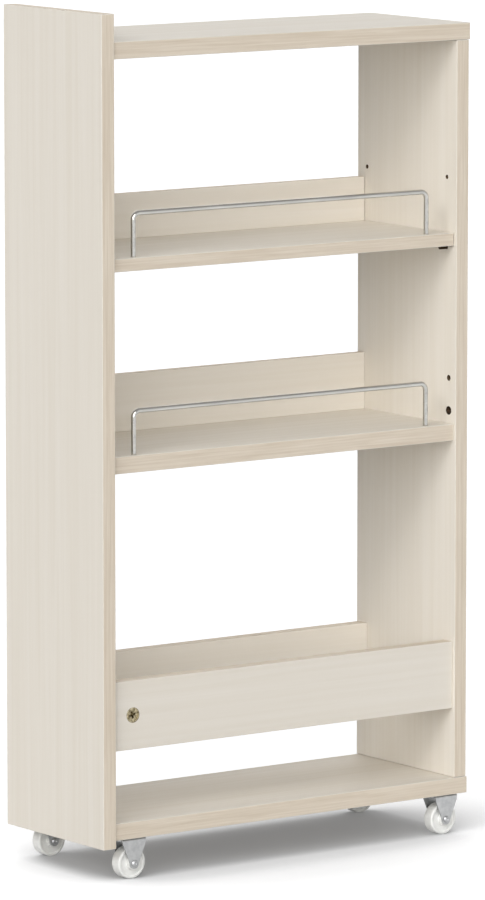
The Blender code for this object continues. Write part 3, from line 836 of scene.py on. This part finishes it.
nylon_shader = add(
    nylon,
    "ShaderNodeBsdfPrincipled",
    {
        "Base Color": nylon_tone.outputs[0],
        "Roughness": nylon_gloss.outputs[0],
        "Normal": nylon_relief.outputs[0],
        "IOR": 1.53,
        "Subsurface Weight": 0.15,
        "Subsurface Radius": (0.004, 0.004, 0.004),
        "Subsurface Scale": 0.5,
    },
)
add(nylon, "ShaderNodeOutputMaterial", {"Surface": nylon_shader.outputs[0]})

wheel_low, wheel_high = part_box("wheel_front_left")
wheel_radius = (wheel_high.z - wheel_low.z) / 2
hub_boss = (wheel_high.y - wheel_low.y - wheel_width) / 2
bpy.ops.object.select_all(action="DESELECT")
bpy.ops.mesh.primitive_cylinder_add(
    vertices=64, radius=wheel_radius, depth=wheel_width, rotation=(math.pi / 2, 0, 0)
)
wheel_pattern = bpy.context.object
bpy.ops.object.transform_apply(location=True, rotation=True, scale=True)
bpy.ops.object.mode_set(mode="EDIT")
pick("FACE", lambda face: abs(face.normal.y) > 0.9)
bpy.ops.mesh.inset(thickness=wheel_rim)
bpy.ops.mesh.extrude_region_shrink_fatten(TRANSFORM_OT_shrink_fatten={"value": -wheel_dish})
bpy.ops.mesh.inset(thickness=wheel_radius - wheel_rim - wheel_hub_radius)
bpy.ops.mesh.extrude_region_shrink_fatten(TRANSFORM_OT_shrink_fatten={"value": wheel_dish + hub_boss})
bpy.ops.mesh.inset(thickness=wheel_hub_radius - wheel_bore_radius)
bpy.ops.mesh.bridge_edge_loops()
pick(
    "EDGE",
    lambda edge: abs(edge.verts[0].co.y - edge.verts[1].co.y) < same_point
    and all(abs(v.co.xz.length - wheel_radius) < same_point for v in edge.verts),
)
bpy.ops.mesh.bevel(offset=wheel_tread_round, segments=5, affect="EDGES")
bpy.ops.mesh.select_all(action="SELECT")
bpy.ops.mesh.normals_make_consistent(inside=False)
bpy.ops.object.mode_set(mode="OBJECT")
moulded_edges = wheel_pattern.modifiers.new("moulded_edges", "BEVEL")
moulded_edges.width = wheel_edge_round
moulded_edges.segments = 3
moulded_edges.limit_method = "ANGLE"
moulded_edges.angle_limit = fold
bpy.ops.object.modifier_apply(modifier=moulded_edges.name)
wheel_pattern.data.materials.append(nylon)
for corner in corners:
    low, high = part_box("wheel_" + corner)
    wheel = set_copy(wheel_pattern, f"wheel_{corner}_moulded", Matrix.Translation((low + high) / 2))
    smooth_rounds(wheel)
    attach(wheel, "roller_" + corner)
    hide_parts("wheel_" + corner)
bpy.data.meshes.remove(wheel_pattern.data)

# The axles: 5 mm steel rivets through both cheeks, zinc plated, with domed heads that a hollow
# punch has left dimpled.
axle_head_radius = 0.0036
dome_leans = (90, 65, 40, 22)
dimple_depth = 0.0006
dimple_taper = 0.6
head_clearance = 0.0003

axle_low, axle_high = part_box("axle_front_left")
axle_half = (axle_high.y - axle_low.y) / 2
head_height = axle_half - fork_size.y / 2 - head_clearance
bpy.ops.object.select_all(action="DESELECT")
bpy.ops.mesh.primitive_cylinder_add(
    vertices=32, radius=axle_radius, depth=2 * (axle_half - head_height), rotation=(math.pi / 2, 0, 0)
)
axle_pattern = bpy.context.object
bpy.ops.object.transform_apply(location=True, rotation=True, scale=True)
bpy.ops.object.mode_set(mode="EDIT")
pick("FACE", lambda face: abs(face.normal.y) > 0.9)
ring_radius = axle_radius
ring_level = 0
for lean in dome_leans:
    next_radius = axle_head_radius * math.sin(math.radians(lean))
    next_level = head_height * math.cos(math.radians(lean))
    bpy.ops.mesh.extrude_region_shrink_fatten(TRANSFORM_OT_shrink_fatten={"value": next_level - ring_level})
    bpy.ops.transform.resize(value=(next_radius / ring_radius, 1, next_radius / ring_radius))
    ring_radius = next_radius
    ring_level = next_level
bpy.ops.mesh.extrude_region_shrink_fatten(TRANSFORM_OT_shrink_fatten={"value": -dimple_depth})
bpy.ops.transform.resize(value=(dimple_taper, 1, dimple_taper))
bpy.ops.mesh.select_all(action="SELECT")
bpy.ops.mesh.normals_make_consistent(inside=False)
bpy.ops.object.mode_set(mode="OBJECT")
axle_pattern.data.materials.append(zinc_plate)
for corner in corners:
    low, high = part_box("axle_" + corner)
    axle = set_copy(axle_pattern, f"axle_{corner}_riveted", Matrix.Translation((low + high) / 2))
    smooth_rounds(axle)
    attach(axle, "carcass")
    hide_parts("axle_" + corner)
bpy.data.meshes.remove(axle_pattern.data)

# The caster screws: two round-headed wood screws in each fork, driven up into the bottom board
# through the fork's strip, before the wheel is riveted in.
caster_screw_radii = (0.0036, 0.0036, 0.0018, 0.0018, 0.0004)
caster_screw_steps = (0.0018, 0.0002, 0.010, 0.003)
caster_screw_head = 0.002
caster_screw_round = 0.0011

caster_screw_pattern = turned_screw(24, caster_screw_radii, caster_screw_steps)
bpy.ops.object.mode_set(mode="EDIT")
pick("EDGE", lambda edge: all(abs(v.co.z) < same_point for v in edge.verts))
bpy.ops.mesh.bevel(offset=caster_screw_round, segments=4, affect="EDGES")
bpy.ops.object.mode_set(mode="OBJECT")
caster_screw_pattern.data.materials.append(zinc_plate)
for corner in corners:
    low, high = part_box("fork_" + corner)
    middle = (low + high) / 2
    head_level = high.z - fork_steel - caster_screw_head
    for end, side in (("left", -1), ("right", 1)):
        head = Vector((middle.x + side * caster_screw_pitch / 2, middle.y, head_level))
        caster_screw = set_copy(
            caster_screw_pattern, f"caster_screw_{corner}_{end}", seat_matrix(head, (0, 0, -1), (1, 0, 0))
        )
        smooth_rounds(caster_screw)
        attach(caster_screw, "carcass")
bpy.data.meshes.remove(caster_screw_pattern.data)

# The floor: a pale seamless sheet of paper, white to the eye and to mirrors, that throws back no more
# light than paper does. To the eye and to mirrors it keeps only a quarter of the lamps' real shadow of
# the cart; the rest is painted shadow, an emission darkened where the cart stands close over the paper
# and leaning a little to the right, away from the key.
floor_span = 120
floor_seen = (1.5, 1.505, 1.53, 1)
floor_bounce = linear("D4D4D4")
contact_reach = 0.45
contact_lean = (-0.3, 0, 0.95)
contact_close = 0.33
contact_clear = 0.82
shadow_tone = 0.18
paper_tone = 1.1
painted_shade_share = 0.75

bpy.ops.object.select_all(action="DESELECT")
bpy.ops.mesh.primitive_plane_add(size=floor_span)
floor = bpy.context.object
floor.name = "studio_floor"
paper = new_material("white_paper_sweep")
floor_path = add(paper, "ShaderNodeLightPath", {})
floor_mirrored = add(
    paper,
    "ShaderNodeMath",
    {0: floor_path.outputs["Is Glossy Ray"], 1: floor_path.outputs["Is Transmission Ray"]},
    operation="MAXIMUM",
)
floor_looked_at = add(
    paper,
    "ShaderNodeMath",
    {0: floor_path.outputs["Is Camera Ray"], 1: floor_mirrored.outputs[0]},
    operation="MAXIMUM",
)
floor_colour = add(
    paper,
    "ShaderNodeMix",
    {0: floor_looked_at.outputs[0], 6: floor_bounce, 7: floor_seen},
    data_type="RGBA",
)
paper_shader = add(paper, "ShaderNodeBsdfDiffuse", {"Color": floor_colour.outputs[2]})
contact_way = add(paper, "ShaderNodeCombineXYZ", dict(zip("XYZ", contact_lean)))
# Painted shadow: the paper's emission is darkened by how closely the cart covers it, not by any lamp.
contact = add(
    paper,
    "ShaderNodeAmbientOcclusion",
    {"Distance": contact_reach, "Normal": contact_way.outputs[0]},
    samples=16,
)
painted_shade_level = add(
    paper,
    "ShaderNodeMapRange",
    {
        "Value": contact.outputs["AO"],
        "From Min": contact_close,
        "From Max": contact_clear,
        "To Min": shadow_tone,
        "To Max": paper_tone,
    },
)
painted_shade_emission = add(paper, "ShaderNodeEmission", {"Strength": painted_shade_level.outputs[0]})
# Three quarters of what the eye and mirrors see of the paper is this painted shadow.
painted_shade_fac = add(
    paper, "ShaderNodeMath", {0: floor_looked_at.outputs[0], 1: painted_shade_share}, operation="MULTIPLY"
)
paper_mix = add(
    paper,
    "ShaderNodeMixShader",
    {0: painted_shade_fac.outputs[0], 1: paper_shader.outputs[0], 2: painted_shade_emission.outputs[0]},
)
add(paper, "ShaderNodeOutputMaterial", {"Surface": paper_mix.outputs[0]})
floor.data.materials.append(paper)

# Light: a white room with a dimmer ceiling, a soft key from the left and low, as the wire's shadow on
# the end panel shows, a broad fill from the front and a broader, softer one from behind.
room_light = 0.2
ceiling_rise = (0.28, 0.55)
mirrored_ceiling = 0.52
lamp_distance = 3
lamps = (
    ("key", Vector((-0.84, -0.25, 0.48)), 0.82, 20),
    ("front_fill", Vector((-0.56, -0.75, 0.35)), 2.38, 60),
    ("rear_fill", Vector((0.66, 0.66, 0.36)), 1.5, 80),
)

room = bpy.data.worlds.new("white_room")
bpy.context.scene.world = room
room.use_nodes = True
room.node_tree.nodes.clear()
room_path = add(room, "ShaderNodeLightPath", {})
room_mirrored = add(
    room,
    "ShaderNodeMath",
    {0: room_path.outputs["Is Glossy Ray"], 1: room_path.outputs["Is Transmission Ray"]},
    operation="MAXIMUM",
)
room_way = add(room, "ShaderNodeTexCoord", {}).outputs["Generated"]
room_rise = add(room, "ShaderNodeSeparateXYZ", {"Vector": room_way}).outputs["Z"]
room_ceiling = add(
    room,
    "ShaderNodeMapRange",
    {
        "Value": room_rise,
        "From Min": ceiling_rise[0],
        "From Max": ceiling_rise[1],
        "To Min": 1,
        "To Max": mirrored_ceiling,
    },
)
room_lit = add(room, "ShaderNodeBackground", {"Color": (1, 1, 1, 1), "Strength": room_light})
room_glossed = add(room, "ShaderNodeBackground", {"Color": (1, 1, 1, 1), "Strength": room_ceiling.outputs[0]})
room_seen = add(room, "ShaderNodeBackground", {"Color": (1, 1, 1, 1), "Strength": 1})
room_mirror_mix = add(
    room,
    "ShaderNodeMixShader",
    {0: room_mirrored.outputs[0], 1: room_lit.outputs[0], 2: room_glossed.outputs[0]},
)
room_mix = add(
    room,
    "ShaderNodeMixShader",
    {0: room_path.outputs["Is Camera Ray"], 1: room_mirror_mix.outputs[0], 2: room_seen.outputs[0]},
)
add(room, "ShaderNodeOutputWorld", {"Surface": room_mix.outputs[0]})
for name, light_from, strength, spread in lamps:
    bpy.ops.object.light_add(type="SUN", location=lamp_distance * light_from)
    lamp = bpy.context.object
    lamp.name = name + "_light"
    lamp.data.energy = strength
    lamp.data.angle = math.radians(spread)
    lamp.rotation_euler = light_from.to_track_quat("Z", "Y").to_euler()

# Camera: a long lens far off, a little above the cart's top, turned to its left front corner.
camera_at = (-3.9157, -5.4232, 1.3334)
camera_yaw = math.radians(35.854)
camera_pitch = math.radians(7.914)
image_height = 900
focal_pixels = 6724.8

bpy.ops.object.camera_add(location=camera_at, rotation=(math.pi / 2 - camera_pitch, 0, -camera_yaw))
camera = bpy.context.object
camera.data.sensor_width = 36
camera.data.lens = focal_pixels * camera.data.sensor_width / image_height
camera.data.clip_end = 300
bpy.context.scene.camera = camera
bpy.context.scene.view_settings.view_transform = "Standard"
